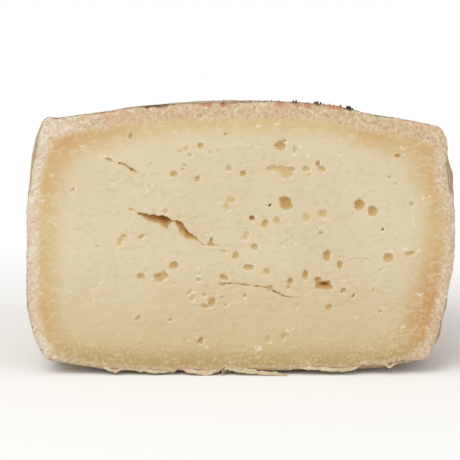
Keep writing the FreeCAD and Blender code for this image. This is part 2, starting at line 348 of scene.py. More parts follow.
eyes = [
    (-51, 112.8, 3.2, 1.5, 65, 1.4), (-61, 102.3, 3.6, 1.5, -25, 1.3), (-41.5, 100.2, 1.6, 1.5, 0, 0.6),
    (-77.5, 88.2, 2.8, 1.4, 40, 0.9), (-42.5, 90, 4, 2, 80, 0.5), (-60, 91.8, 2.2, 1, -20, 0.35),
    (-25.3, 107.5, 4.6, 2.4, 45, 0.7), (-23.5, 104.5, 2.2, 1.5, -30, 0.8), (-28, 106.3, 1.8, 1.5, 0, 0.7),
    (-18.5, 109, 3.2, 2.6, 0, 1.4), (-14, 106, 3.4, 2, 0, 0.5), (-10.5, 106.7, 2, 1.8, 0, 0.6),
    (-7, 114.7, 2.4, 1.8, 0, 1.0), (-26, 99.8, 2.2, 1.1, 0, 0.9), (-26.7, 97.8, 1.5, 1.3, 0, 0.8),
    (-31, 95.5, 3.3, 3.1, 0, 1.5), (-20, 93.3, 3, 2.6, 90, 1.3), (-5.5, 98.3, 3, 2.8, 0, 1.0),
    (1.2, 95.8, 3.2, 2.9, 20, 1.5), (18.3, 108.6, 5.4, 4.0, -10, 1.9), (20, 110.8, 2.4, 1.8, 0, 1.2),
    (25, 107, 4.2, 1.6, 85, 0.9), (7.5, 109.7, 3, 1.5, -20, 0.5), (3, 110.3, 1.8, 1.4, 0, 0.4),
    (13.5, 98, 3.6, 2.0, 0, 1.2), (15, 98.3, 5, 2.6, -8, 1.3), (19.5, 97.6, 9, 3.4, 0, 1.1),
    (21, 95.8, 7, 4.6, -35, 1.1), (23.2, 97.8, 4, 2.4, 0, 1.3),
    (30.3, 98, 4, 2.4, -15, 1.2), (31.7, 95.3, 2, 1.4, 0, 0.7), (35.7, 100.3, 2.6, 2, 90, 1.5),
    (37.7, 97.8, 4, 2.3, -30, 1.3), (46.2, 105.2, 2.2, 1.6, 90, 0.5), (46.3, 98.2, 2, 1.4, 0, 0.4),
    (72, 104.5, 2.8, 2.3, -30, 1.6), (69.3, 94, 2, 1.7, -40, 0.8), (72.2, 91, 2, 1.6, -40, 0.7),
    (21, 82, 7, 5.6, -60, 2.6), (13.5, 81, 1.8, 1.1, 50, 2.4), (5.2, 75, 2.8, 2.6, 0, 2.4),
    (11.3, 72.5, 4, 3, 85, 1.5), (17, 73.8, 3.5, 3, -40, 1.1), (21.5, 73.5, 2.6, 1, -35, 0.5),
    (-4.3, 83.5, 4.6, 3.4, -15, 0.9), (-6.8, 80, 4.4, 3.6, -60, 0.7), (30.5, 75.3, 4.6, 4, -45, 0.9),
    (38, 77, 5, 3.8, -10, 1.1), (37.5, 72, 3, 2.6, 0, 0.35), (37.5, 68, 3, 1.7, 0, 1.0),
    (55, 81.2, 5.3, 5.1, 0, 2.3), (61.3, 78.3, 5, 4.3, 80, 2.0), (79, 81.5, 2.6, 2, 75, 1.0),
    (66, 69.7, 1.6, 1.2, 40, 2.2), (40.2, 57.3, 5.3, 3.4, 85, 2.0), (46.5, 53, 4.1, 2.8, 95, 1.6),
    (69, 56.3, 5, 4.5, 20, 1.6), (79, 58.3, 5, 2.4, 15, 1.2), (65.6, 50.6, 1.4, 1.3, 0, 0.8),
    (30.2, 48.3, 4.8, 3, 85, 1.7), (23.2, 45.2, 3.5, 3.2, 60, 1.6), (22.4, 42.3, 2, 1.5, 90, 1.0),
    (39, 43.3, 8.4, 4.4, -5, 2.9), (36.2, 45.8, 3.4, 2.8, 0, 1.8), (39.3, 43, 5, 1.8, 0, 5.5),
    (48.3, 40.8, 3, 2.6, 0, 1.4), (53.1, 38.4, 2.1, 1.7, 60, 1.4), (41.5, 32.8, 3.3, 3.1, 0, 1.4),
    (62.5, 41, 2, 1, 80, 0.9), (66, 30.8, 2.4, 0.9, 20, 0.9), (6.5, 61.5, 3.7, 3.3, 20, 1.3),
    (2.5, 66.5, 5, 2.8, 60, 0.7), (-16, 68.5, 2, 0.9, 40, 0.6), (-20, 75.5, 2.2, 1, 50, 0.5),
    (-14, 62.7, 3.6, 1.7, 0, 1.4), (-13.8, 64.5, 3.4, 1.5, 82, 1.6), (-17.5, 62.5, 3.4, 0.9, -5, 0.8),
    (-8, 59.3, 3, 2, 0, 0.8), (-2.5, 57.2, 3.7, 3.1, 80, 1.4), (-31, 52.7, 5, 3.8, 0, 1.7),
    (-46.7, 47.6, 4, 3.2, -15, 1.4), (-38, 47, 5, 4.6, 20, 1.8), (-35.3, 47.8, 3, 2.5, 90, 1.5),
    (-31, 44.5, 2.4, 1.8, 0, 0.5),
    (-19.5, 46, 2.5, 2, 0, 1.1), (-19.2, 49, 3.5, 1, 85, 0.5), (3.7, 51.8, 5.3, 3, -5, 1.5),
    (12.3, 49.7, 4, 3.5, 0, 1.1), (-7.8, 47, 4.7, 2.5, -30, 1.5), (-8.2, 43.8, 2.4, 2, 0, 1.2),
    (13.8, 41.9, 3.4, 3.1, 30, 1.4), (26.5, 33.5, 2.4, 2, -30, 0.6), (-24, 40, 3, 1.9, 45, 0.8),
    (-22.5, 37.3, 4.2, 2.7, 50, 0.9), (-17, 38.8, 2, 1.7, 80, 1.0), (-8.7, 37.6, 1.2, 1.0, 0, 1.0),
    (2, 38.4, 2.3, 1.6, 80, 1.1), (-13.5, 35, 4.5, 3.5, 80, 1.6), (-16.7, 33.3, 3.6, 2.4, -5, 1.3),
    (-6.8, 33.9, 2, 1.7, 0, 0.7), (-48.2, 27.7, 3.2, 1.9, 40, 1.2), (-33, 26.7, 2.4, 1.4, 0, 1.1),
    (-19, 16.7, 3.7, 3.1, 80, 1.5), (-26, 17, 2.6, 1.6, 0, 0.6), (-21, 19, 1.3, 1, 0, 0.6),
    (12.8, 17.5, 3.8, 2.9, 70, 0.9), (20.5, 19, 4.4, 2.8, 50, 1.1), (-56, 64.5, 6.6, 2.6, 62, 0.9),
    (-54.4, 66.6, 2.6, 1.8, 0, 1.2), (-46.3, 66.3, 3.2, 2, 45, 1.1), (-66.8, 61.7, 1.8, 1.1, 30, 0.7),
    (-69.5, 35.8, 2.8, 1.4, 0, 0.4), (-35, 78.2, 3.2, 2.4, 60, 0.8), (-28.7, 75.7, 3.2, 2.4, 70, 0.5),
    (-50.9, 79.0, 2.6, 1.4, -15, 1.0), (-42.5, 72.3, 3, 1.4, -20, 0.5), (-36.2, 49.4, 2, 1.8, 0, 1.0),
    (19, 62.7, 2.4, 1.8, 0, 0.4), (24.3, 62.7, 2.2, 1.7, 0, 0.4),
]

# the two gaping cracks, left to right: across, upper lip, lower lip, depth
gapes = [
    [(-48.3, 77.4, 77.2, 0.2), (-47.3, 78.0, 76.3, 2.2), (-44, 77.0, 74.0, 3.2), (-41, 76.4, 73.0, 4.5),
     (-38, 76.0, 72.3, 7.0), (-36, 76.1, 71.0, 7.5), (-34.5, 75.4, 69.8, 6.5), (-33.2, 74.8, 72.0, 4.0),
     (-31.5, 73.8, 73.2, 0.8)],
    [(-30.9, 73.9, 73.4, 0.8), (-29.4, 74.2, 70.6, 3.0), (-27.6, 73.2, 67.0, 3.4), (-26, 70.6, 65.5, 3.6),
     (-24.5, 69.0, 64.8, 5.0), (-23, 67.5, 64.6, 3.0), (-20.5, 65.5, 64.3, 1.6), (-19.3, 64.3, 64.1, 0.3)],
]

# hair cracks: width, depth, then the points that they run through
hairCracks = [
    (1.2, 2.0, [(-56.2, 100.6), (-53, 99.3), (-51, 97.8), (-48.7, 96.7)]),
    (0.7, 1.5, [(-9.5, 44.0), (-2.5, 44.2), (1, 43.6), (8, 42.9), (13, 42.1)]),
    (1.1, 1.8, [(15.5, 40.6), (18, 39.2), (20.2, 38.2)]),
    (0.6, 1.1, [(20, 38.3), (24.7, 37.4), (26.6, 37.2)]),
    (0.45, 0.5, [(50.5, 55.2), (53, 55.9), (56, 56.2), (61, 55.5)]),
    (0.45, 0.5, [(74, 34.5), (78, 33.5), (82, 32.2)]),
    (0.6, 0.6, [(-51.6, 79.2), (-49.5, 78.4), (-47.8, 77.4)]),
    (0.6, 0.8, [(-19.6, 64.2), (-17.5, 62.7), (-14, 62.6), (-10, 61.9)]),
    (0.7, 1.5, [(-32.2, 73.5), (-30.4, 73.5)]),
    (0.5, 0.7, [(-22.5, 34.0), (-13, 33.2)]),
]

# pale scuffs where the knife lifted the paste: across, up, length, width, lean
scuffs = [
    (8.5, 118, 3.2, 1.6, 0), (17, 118.6, 3.8, 1.4, -12), (73, 108, 4, 1.3, -25), (75, 105.4, 2.8, 1.1, 60),
    (70.3, 102.6, 2, 1, 20), (3.2, 67, 4.5, 0.9, 60), (21.6, 21.6, 5.5, 1.1, 52), (24.4, 22.4, 3.6, 0.9, 48),
    (-67, 42, 5.5, 1.1, 40), (-64.5, 44.6, 3, 0.8, 45), (-73, 107, 5, 2, -10), (-64, 103.6, 4.5, 1.4, -15),
    (-87.5, 95, 3.6, 1.4, -30), (-91, 83, 3.6, 1.3, 30), (-60, 96, 3, 0.6, 50), (80, 73, 4, 1.5, 80),
    (82.5, 59.5, 3.6, 1.1, 50), (76.5, 60.4, 3.2, 1.0, 10), (48.2, 45.6, 2.6, 0.9, 10), (85, 39, 5, 1.6, 5),
    (8.8, 13.2, 4.5, 3, 0), (86, 84.8, 10, 0.7, 12), (-19.5, 51.5, 3, 0.9, 75), (-86, 72, 3, 1.2, 20),
    (27.5, 108, 2, 1, 10), (31, 104.2, 3, 1, 40), (-22.5, 39.6, 3.2, 0.8, 50), (16.5, 40.4, 2, 0.7, -35),
    (69.5, 59.4, 4, 0.7, 10), (-18, 106.3, 3, 0.8, -20), (66.5, 33, 4, 0.8, 0), (54.5, 28, 3.4, 1.4, 20),
    (78, 23.5, 2.2, 1.6, 0), (-50, 28.6, 2.4, 0.8, 30), (-44, 79.6, 3, 0.8, -10), (-16, 13.5, 3, 1, -40),
]
softDent = 0.65  # mm, an eye less deep than this is a soft dent


def nearby(places):
    tree = kdtree.KDTree(len(places))
    for index, place in enumerate(places):
        tree.insert(place, index)
    tree.balance()
    return tree


def found(tree, verts, x, z, reach):
    return [verts[index] for _, index, _ in tree.find_range((x, cutY, z), reach)]


def refineCells(bm, margin, smallest):
    # halves the cells round the eyes and cracks, so that their lips are crisp
    faces = flatFaces(bm)
    verts = list({vert for face in faces for vert in face.verts})
    tree = nearby([vert.co for vert in verts])
    close = set()
    for x, z, length, width, lean, depth in eyes:
        if depth >= smallest:
            for vert in found(tree, verts, x, z, max(length, width) / 2 + margin):
                dx, dz = turned(vert.co.x - x, vert.co.z - z, lean)
                if math.hypot(dx / (length / 2 + margin), dz / (width / 2 + margin)) < 1:
                    close.add(vert)
    for stations in gapes:
        for (a, upperA, lowerA, _), (b, upperB, lowerB, _) in zip(stations, stations[1:]):
            middle = ((a + b) / 2, (upperA + lowerA + upperB + lowerB) / 4)
            reach = max(b - a, upperA - lowerA, upperB - lowerB) / 2 + margin
            close.update(found(tree, verts, *middle, reach))
    for width, depth, points in hairCracks:
        for first, second in zip(points, points[1:]):
            steps = max(1, round(math.dist(first, second) / wheel["cutCell"]))
            for step in range(steps + 1):
                x = first[0] + (second[0] - first[0]) * step / steps
                z = first[1] + (second[1] - first[1]) * step / steps
                close.update(found(tree, verts, x, z, width / 2 + margin))
    edges = {edge for vert in close for edge in vert.link_edges
             if edge.other_vert(vert) in close and abs(edge.other_vert(vert).co.y - cutY) < 0.01}
    bmesh.ops.subdivide_edges(bm, edges=list(edges), cuts=1, use_grid_fill=True)


def turned(dx, dz, lean):
    angle = math.radians(lean)
    return dx * math.cos(angle) + dz * math.sin(angle), dz * math.cos(angle) - dx * math.sin(angle)


def eyeReach(dx, dz, eye, number):
    # 0 in the middle of an eye, 1 on its uneven lip
    x, z, length, width, lean, depth = eye
    along, aside = turned(dx, dz, lean)
    angle = math.atan2(aside / width, along / length)
    uneven = 1 + 0.22 * noise.noise(Vector((1.3 * math.cos(angle), 1.3 * math.sin(angle), number * 3.7)))
    uneven += 0.16 * noise.noise(Vector((3.1 * math.cos(angle), 3.1 * math.sin(angle), number * 5.1)))
    uneven += 0.16 * grain(dx, 0, dz, 0.8, number)
    squareness = 2.0 + (number * 7 % 10) * 0.1
    shares = abs(along / (length / 2)), abs(aside / (width / 2))
    out = (shares[0] ** squareness + shares[1] ** squareness) ** (1 / squareness)
    return out / uneven


def eyeDepth(dx, dz, eye, number):
    # a bubble: crisp uneven lip, steep wall, rounded floor. A shallow one is a soft dent.
    out = eyeReach(dx, dz, eye, number)
    depth = eye[5]
    if out >= 1:
        return 0.0
    if depth < softDent:
        return depth * (1 - out * out) ** 1.3
    floor = 1 + 0.25 * noise.noise(Vector((dx * 0.9, dz * 0.9, number)))
    return depth * floor * (1 - out ** 2.6) ** 0.7


def gapeDepth(x, z, stations):
    # deepest under the overhanging upper lip, sloping out to the lower one
    if x <= stations[0][0] or x >= stations[-1][0]:
        return 0.0
    upper, lower, depth = [between([(s[0], s[column]) for s in stations], x) for column in (1, 2, 3)]
    upper = upper + 0.5 * grain(x, 3, z, 1.9) + 0.35 * grain(x, 3, z, 0.8)
    lower = lower + 0.6 * grain(x, 9, z, 1.7) + 0.35 * grain(x, 9, z, 0.8)
    if not lower < z < upper:
        return 0.0
    down = (upper - z) / (upper - lower)
    ledge = 1 - 0.72 * ease(down, 0.3, 0.95)
    lips = ease(down, -0.1, 0.2) * ledge * ease(1 - down, -0.05, 0.16)
    return depth * lips * (1 + 0.3 * grain(x, 0, z, 1.5, 4))


def hairDepth(x, z, width, depth, points):
    nearest = 9.0
    for (ax, az), (bx, bz) in zip(points, points[1:]):
        length = math.dist((ax, az), (bx, bz))
        along = ((x - ax) * (bx - ax) + (z - az) * (bz - az)) / length
        along = min(length, max(0.0, along))
        px = ax + (bx - ax) * along / length
        pz = az + (bz - az) * along / length
        nearest = min(nearest, math.dist((x, z), (px, pz)))
    nearest += 0.3 * grain(x, 1, z, 1.3, 7)
    waning = max(0.15, 0.7 + 0.9 * grain(x, 5, z, 2.6, 2))  # it closes up here and there
    return depth * (1 - ease(nearest, 0.1 * width, 0.62 * width)) * waning


def hollowOut(bm, layers):
    verts = [vert for vert in bm.verts if vert[layers["onCut"]] > 0.5]
    # sought by where they were before they were pushed about
    tree = nearby([Vector((vert[layers["across"]], cutY, vert[layers["up"]])) for vert in verts])
    depths = {}
    for number, eye in enumerate(eyes):
        x, z, length, width = eye[:4]
        for vert in found(tree, verts, x, z, max(length, width) / 2 * 1.3 + 0.9):
            dx = vert[layers["across"]] - x
            dz = vert[layers["up"]] - z
            depths[vert] = max(depths.get(vert, 0.0), eyeDepth(dx, dz, eye, number))
            beyond = (eyeReach(dx, dz, eye, number) - 1) * min(length, width) / 2
            # painted highlight on each eye's lip, brighter on the lower right side that faces the key light;
            # kept with the scuffs
            lipHighlight = 0.75 * math.exp(-((beyond - 0.2) / 0.5) ** 2) * (0.8 + 0.3 * math.copysign(1, dx - dz))
            vert[layers["scuffAndLipHighlight"]] = max(vert[layers["scuffAndLipHighlight"]], lipHighlight)  # painted highlight: a pale rim round the eye, strongest on its lower right where the light catches the lip
    clefts = [(gapeDepth, (stations,), [(place, 71) for place, *_ in stations], 14) for stations in gapes]
    clefts += [(hairDepth, crack, crack[2], None) for crack in hairCracks]
    for depthAt, shape, points, reach in clefts:
        xs = [point[0] for point in points]
        zs = [point[1] for point in points]
        reach = reach or math.dist((min(xs), min(zs)), (max(xs), max(zs))) / 2 + 1.5
        for vert in found(tree, verts, (min(xs) + max(xs)) / 2, (min(zs) + max(zs)) / 2, reach):
            depth = depthAt(vert[layers["across"]], vert[layers["up"]], *shape)
            depths[vert] = max(depths.get(vert, 0.0), depth)
    for vert, depth in depths.items():
        vert.co.y += 0.8 * depth
        vert.co.z += 0.25 * max(0.0, depth - 1.0)  # deep hollows run up under their upper lip
        vert[layers["hollow"]] = depth


# ---- zones and relief

relief = {
    "rindSide": 5.0,  # mm of rind that shows on the cut at the sides
    "rindTop": 7.2,
    "rindBottom": 1.8,
    "cornerBlend": 3.0,  # mm, how softly the bands of two sides meet
    "fadeBehind": 30,  # mm behind the cut in which its unevenness dies out
    "crownSink": 0.9,  # mm that the top sinks behind the cut
    "sideSink": 0.7,  # mm that the sides draw in just behind it, where the rind has shrunk
    "sag": (62, 16, 2.0),  # across, reach and how many times deeper the top sinks there
    "lumps": [(1.2, 34, 0), (0.8, 15, 5)],  # amount, size in mm and seed of the rind's lumps
    "roughness": [(0.4, 5.5, 9), (0.24, 2.9, 2)],
    "pits": (2.6, 8.5, 14),  # their depth, size and seed
}

# how deep the dried band runs in from the rind: the least, then more at (across, up, reach, mm)
driedDepth = 7.0
deeperDrying = [(-92, 70, 40, 6), (-84, 106, 18, 5), (-60, 116, 20, 4), (86, 104, 20, 7), (92, 60, 34, 6),
                (86, 24, 24, 6), (0, 0, 60, 7), (-62, 2, 34, 5), (62, 2, 34, 5), (40, 118, 24, 1.5),
                (62, 116, 16, 5), (0, 118, 30, 2.5)]


def rimGaps(x, z):
    # distance from the side, the top and the base of the true wheel, seen on the cut
    rise = z - wheel["bellyHeight"]
    radius = wheelRadius - wheel["sideRadius"] + math.sqrt(wheel["sideRadius"] ** 2 - rise ** 2)
    side = math.sqrt(radius ** 2 - cutOffset ** 2) - abs(x)
    crownDrop = math.sqrt(wheel["crownRadius"] ** 2 - x ** 2 - cutOffset ** 2)
    top = wheelHeight - wheel["crownRadius"] + crownDrop - z
    beyond = max(0.0, math.hypot(x, cutOffset) - wheel["restRadius"])
    base = wheel["baseRadius"] - math.sqrt(wheel["baseRadius"] ** 2 - beyond ** 2)
    return side, top, z - base


def rindGap(x, z):
    # mm inwards from the inner edge of the rind, negative in the rind itself
    side, top, bottom = rimGaps(x, z)
    blend = relief["cornerBlend"]
    gaps = (side - relief["rindSide"], top - relief["rindTop"], bottom - relief["rindBottom"])
    return -blend * math.log(sum(math.exp(-min(60.0, gap) / blend) for gap in gaps))


def shapeWheel(bm, layers):
    # the wheel's own unevenness beside its cut, and the crumbled foot under it
    for vert in bm.verts:
        co = vert.co
        x, z = co.x, co.z
        back = co.y - cutY
        fade = math.exp(-(back / relief["fadeBehind"]) ** 2)
        side = leftSide if x < 0 else rightSide
        outward = between(side, z) * ease(abs(x), 45, 92) * fade
        drawnIn = relief["sideSink"] * ease(back, 0, 4) * (1 - ease(back, 22, 50))
        co.x += math.copysign(1, x) * (outward - drawnIn * ease(abs(x), 70, 92))
        co.z += between(topSide, x) * ease(z, 92, 122) * fade
        if vert[layers["onCut"]] < 0.5:
            place, reach, deeper = relief["sag"]
            dip = 1 + deeper * math.exp(-((co.x - place) / reach) ** 2)
            sink = relief["crownSink"] * dip * ease(z, 108, 122)
            co.z -= sink * ease(back, 2, 22) * (1 - 0.8 * ease(back, 40, 90))
        for (sx, sy, sz), reach, push in swellings:
            far = (Vector((x, back, z)) - Vector((sx, sy, sz))).length
            co.x += push * math.exp(-(far / reach) ** 2)
        foot = between(cutFoot, x) + 0.5 * grain(x, 0, 0, 2.2) + 0.35 * grain(x, 0, 0, 0.9, 3)
        base = z - rimGaps(max(-97, min(97, x)), z)[2]
        if vert[layers["onCut"]] > 0.5:
            share = 1 - ease(z, base, base + 9)
            co.z += max(0.0, foot - base) * share
        elif z < 20 and back < 10:
            co.z = max(co.z, foot * (1 - back / 9.5))


def layered(co, rows):
    # noises of several sizes, added up
    return sum(amount * grain(*co, size, seed) for amount, size, seed in rows)


def roughenRind(bm, layers):
    # lumps, pits and drag marks of the dried rind; small beside the cut's edge
    bm.normal_update()
    for vert in bm.verts:
        if vert[layers["onCut"]] > 0.5:
            continue
        x, y, z = vert.co
        inside = ease(y - cutY, 18, 75)
        broad = layered(vert.co, relief["lumps"])
        small = layered(vert.co, relief["roughness"])
        pitDepth, pitSize, pitSeed = relief["pits"]
        pits = max(0.0, grain(x, y, z, pitSize, pitSeed) - 0.22) * -pitDepth
        push = (broad + pits) * inside + small * (0.4 + 0.6 * inside) - 0.2
        if z < 3 and vert.normal.z < -0.8:
            push = abs(small) * -0.4  # stays on the table
        vert.co += vert.normal * push


def roughenCut(bm, layers):
    for vert in bm.verts:
        if vert[layers["onCut"]] < 0.5:
            continue
        x = vert[layers["across"]]
        z = vert[layers["up"]]
        gap = rindGap(x, z)
        inRind = 1 - ease(gap, -1.5, 1.0)
        edge = min(rimGaps(x, z))
        swirl = grain(x, 0, z, 60) * 0.25 + grain(x, 4, z, 17) * 0.08
        crumb = 0.24 * grain(x + z, 0, (z - x) * 0.45, 1.5, 3) + 0.2 * grain(x, 2, z, 2.6, 8)
        worn = 0.75 * (1 - ease(edge, 0, 1.5)) * (1 + 0.7 * grain(x, 7, z, 2.2))
        vert.co.y += swirl + crumb * inRind + max(0.0, worn) + 0.02 * grain(x, 0, z, 1.7, 6)
        if edge < 1.2:
            vert.co.x += 0.42 * grain(x, 1, z, 2.1, 1) * (1 if abs(x) > 80 else 0.3)
            vert.co.z += 0.38 * grain(x, 8, z, 1.9, 5)


# where the dried band turns from olive to orange: across, up, reach, amount
warmSpots = [(-82, 112, 12, 0.8), (-88, 30, 14, 0.6), (-60, 118, 14, 0.4), (84, 108, 13, 0.45),
             (88, 26, 17, 1.0), (91, 48, 16, 0.7), (60, 118, 12, 0.55), (-90, 60, 12, 0.15),
             (91, 85, 14, 0.4), (-88, 90, 10, 0.4)]
# where the cut rind is chalkiest
chalkSpots = [(-98, 78, 34, 0.95), (-98, 38, 22, 0.6), (-86, 113, 14, 0.7), (97, 66, 30, 0.4),
              (94, 34, 12, 0.25), (90, 10, 12, 0.5), (-92, 12, 12, 0.6), (-50, 3, 24, 0.3), (0, 3, 30, 0.1),
              (45, 4, 30, 0.2), (70, 6, 14, 0.3), (93, 95, 14, 0.3)]
# stains on the top rim beside the cut: across, half width, mm behind the cut, depth back, amount
mouldSpots = [(-38, 9, 1.5, 2.5, 0.9), (-60, 14, 3, 2, 0.35), (25, 1.6, 2, 3, 0.5), (35.5, 2.6, 2, 3, 0.8),
              (46.5, 1.6, 2, 3, 0.6), (50, 2.2, 2, 3, 0.9), (-8, 2.5, 1, 2, 0.6), (9, 6, 3, 3, 0.35)]
# stains on the sides: place from the cut's middle, reach, amount
sideMould = [((-102, 8, 110), 4, 0.9), ((-103, 10, 100), 3, 0.5), ((-103, 10, 90), 4, 0.4),
             ((96, 6, 18), 3, 0.6)]
blushSpots = [(-82, 5, 1, 6, 0.4), (-15, 4, 0, 4, 0.8), (-8, 2, 0, 3, 0.9), (18, 2.6, 0, 3, 0.9),
              (25.5, 2.2, 0, 4, 0.9), (31, 2.6, 0, 5, 0.85), (-40, 16, 0, 4, 0.45), (42, 2.8, 0, 4, 0.95),
              (46.5, 2.2, 0, 4, 0.7), (-62, 9, 0, 4, 0.35)]


def spotsAt(spots, x, z, most=1.0):
    return min(most, sum(amount * math.exp(-((x - sx) ** 2 + (z - sz) ** 2) / reach ** 2)
                         for sx, sz, reach, amount in spots))


def topSpots(spots, vert):
    back = vert.co.y - cutY
    total = 0.0
    for across, half, behind, deep, amount in spots:
        total += amount * math.exp(-((vert.co.x - across) / half) ** 2 - ((back - behind) / deep) ** 2)
    return min(1.0, total)


def scuffAt(x, z):
    most = 0.0
    for sx, sz, length, width, lean in scuffs:
        if abs(x - sx) < 7 and abs(z - sz) < 7:
            along, aside = turned(x - sx, z - sz, lean)
            out = math.hypot(along / (length / 2 + 0.4), aside / (width / 2 + 0.4))
            most = max(most, 1 - ease(out, 0.45, 1.15))
    return most


def markZones(bm, layers):
    for vert in bm.verts:
        if vert[layers["onCut"]] > 0.5:
            x = vert[layers["across"]]
            z = vert[layers["up"]]
            vert[layers["rindGap"]] = max(-8.0, min(40.0, rindGap(x, z)))
            vert[layers["warmth"]] = spotsAt(warmSpots, x, z)
            vert[layers["chalk"]] = spotsAt(chalkSpots, x, z)
            vert[layers["dryDepth"]] = driedDepth + spotsAt(deeperDrying, x, z, 20.0)
            vert[layers["scuffAndLipHighlight"]] = scuffAt(x, z)
        else:
            vert[layers["rindGap"]] = -8.0
            vert[layers["chalk"]] = math.exp(-((vert.co.y - cutY) / 15) ** 2)  # painted light: the rind is paler just behind the cut, so its shaded edge does not read dark
            here = Vector((vert.co.x, vert.co.y - cutY, vert.co.z))
            vert[layers["mould"]] = max(amount * math.exp(-((here - Vector(place)).length / reach) ** 2)
                                        for place, reach, amount in sideMould)
        if vert.co.z > 112:
            onCut = vert[layers["onCut"]] > 0.5
            below = rimGaps(vert[layers["across"]], vert[layers["up"]])[1] if onCut else 0.0
            vert[layers["mould"]] = max(vert[layers["mould"]],
                                        topSpots(mouldSpots, vert) * math.exp(-(below / 1.6) ** 2))
            vert[layers["blush"]] = topSpots(blushSpots, vert) * math.exp(-(below / 2.4) ** 2)


def makeCheese(materials):
    bm = turnWheel()
    print("wheel turned")
    cutWheel(bm)
    print("wheel cut:", len(bm.faces), "faces")
    refineCells(bm, 0.9, 0.3)
    refineCells(bm, 0.45, 1.25)
    bmesh.ops.recalc_face_normals(bm, faces=bm.faces[:])
    names = ("onCut", "across", "up", "rindGap", "dryDepth", "hollow", "warmth", "chalk", "scuffAndLipHighlight", "mould",
             "blush")
    layers = {name: bm.verts.layers.float.new(name) for name in names}
    for face in flatFaces(bm):
        face.material_index = 1
        for vert in face.verts:
            vert[layers["onCut"]] = 1.0
    for vert in bm.verts:
        vert[layers["across"]] = vert.co.x
        vert[layers["up"]] = vert.co.z
    shapeWheel(bm, layers)
    roughenRind(bm, layers)
    roughenCut(bm, layers)
    markZones(bm, layers)
    hollowOut(bm, layers)
    triangles = sum(len(face.verts) - 2 for face in bm.faces)
    print("cheese shaped:", triangles, "triangles")
    for name in ("onCut", "across", "up"):
        bm.verts.layers.float.remove(bm.verts.layers.float[name])
    surface = bvhtree.BVHTree.FromBMesh(bm)
    cheese = finishPiece(bm, "halfWheelCheese", materials)
    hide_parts("half_wheel")
    return cheese, surface


# ---- materials

# the noises of each finish: size in mm, detail, roughness, distortion, then for streaks their
# lean on the cut in degrees and how many times longer than wide they are
cutRindPatterns = {
    "sweptLeft": (1.2, 3.0, 0.6, 1.2, -50, 2.8),
    "sweptRight": (1.2, 3.0, 0.6, 1.2, 42, 2.8),
    "crumbs": (1.3, 4.0, 0.7, 0.0, 0, 1),
    "patches": (16, 3.0, 0.6, 0.0, 0, 1),
}
rindPatterns = {
    "ground": (42, 4.0, 0.55, 0.4, 0, 1),
    "pink": (30, 3.0, 0.5, 0.0, 0, 1),
    "crust": (1.9, 4.0, 0.7, 0.0, 0, 1),
    "bloom": (24, 7.0, 0.68, 0.6, 0, 1),
    "mould": (31, 6.0, 0.66, 1.2, 0, 1),
    "mouldFine": (2.4, 3.0, 0.7, 0.0, 0, 1),
}
pastePatterns = {
    "tone": (38, 4.0, 0.6, 0.0, 0, 1),
    "curd": (3.0, 4.0, 0.65, 0.0, 0, 1),
    "knifeStreaksAndSheen": (1.5, 3.0, 0.55, 0.0, -4, 11),
    "wander": (5.5, 5.0, 0.7, 0.0, 0, 1),
    "grains": (1.5, 4.0, 0.6, 0.0, 0, 1),
    "clusters": (14, 3.0, 0.6, 0.0, 0, 1),
    "smears": (1.7, 3.0, 0.6, 0.0, -12, 2.2),
}


def drawPatterns(tree, coords, patterns):
    # a noise for each row, by its name, over coordinates stretched along the row's lean
    drawn = {}
    for name, (size, detail, roughness, distortion, lean, longer) in patterns.items():
        vector = coords
        if longer > 1:
            vector = addNode(tree, "ShaderNodeMapping", {"Vector": coords, "Scale": (longer, 1, 1),
                                                         "Rotation": (0, math.radians(lean), 0)},
                             vector_type="TEXTURE")
        inputs = {"Vector": vector, "Scale": 1000.0 / size, "Detail": detail, "Roughness": roughness,
                  "Distortion": distortion}
        drawn[name] = addNode(tree, "ShaderNodeTexNoise", inputs).outputs["Fac"]
    return drawn


def fillRamp(node, stops):
    elements = node.color_ramp.elements
    while len(elements) < len(stops):
        elements.new(0.5)
    for element, (place, colour) in zip(elements, stops):
        element.position = place
        element.color = plainHex(colour)


def stain(tree, colour, pattern, start, end, most, tint):
    # the colour turns to the tint, by at most this share, as the pattern runs from start to end
    share = addNode(tree, "ShaderNodeMapRange", {"Value": pattern, "From Min": start, "From Max": end,
                                                 "To Max": most})
    return addNode(tree, "ShaderNodeMix", {0: share, 6: colour, 7: plainHex(tint)},
                   data_type="RGBA").outputs[2]


def cutRindLook(tree, coords):
    # The rind's own thickness, laid open and smeared by the knife: chalky cream strokes, 2 to
    # 4 mm long and half a millimetre wide, over dry tan.
    chalkiness = addNode(tree, "ShaderNodeAttribute", attribute_name="chalk").outputs["Fac"]
    across = addNode(tree, "ShaderNodeSeparateXYZ", {0: coords}).outputs["X"]
    drawn = drawPatterns(tree, coords, cutRindPatterns)
    side = addNode(tree, "ShaderNodeMapRange", {"Value": across, "From Min": -0.02, "From Max": 0.05},
                   interpolation_type="SMOOTHSTEP")
    strokes = addNode(tree, "ShaderNodeMix", {0: side, 2: drawn["sweptLeft"], 3: drawn["sweptRight"]},
                      data_type="FLOAT")
    chalk = addNode(tree, "ShaderNodeMix", {0: 0.6, 2: strokes, 3: drawn["crumbs"]}, data_type="FLOAT")
    dull = addNode(tree, "ShaderNodeValToRGB", {"Fac": chalk})
    fillRamp(dull, [(0.35, "#b99873"), (0.45, "#d3b891"), (0.54, "#e2cca8"), (0.64, "#f3e8d2")])
    pale = addNode(tree, "ShaderNodeValToRGB", {"Fac": chalk})
    fillRamp(pale, [(0.35, "#c7aa85"), (0.44, "#e1ceb0"), (0.53, "#eee3cf"), (0.63, "#fcf7ec")])
    tone = addNode(tree, "ShaderNodeMix", {0: chalkiness, 6: dull, 7: pale}, data_type="RGBA").outputs[2]
    tone = stain(tree, tone, drawn["patches"], 0.46, 0.66, 0.42, "#dfb091")
    height = addNode(tree, "ShaderNodeMath", {0: chalk, 1: 0.5}, operation="SUBTRACT")
    return tone, height


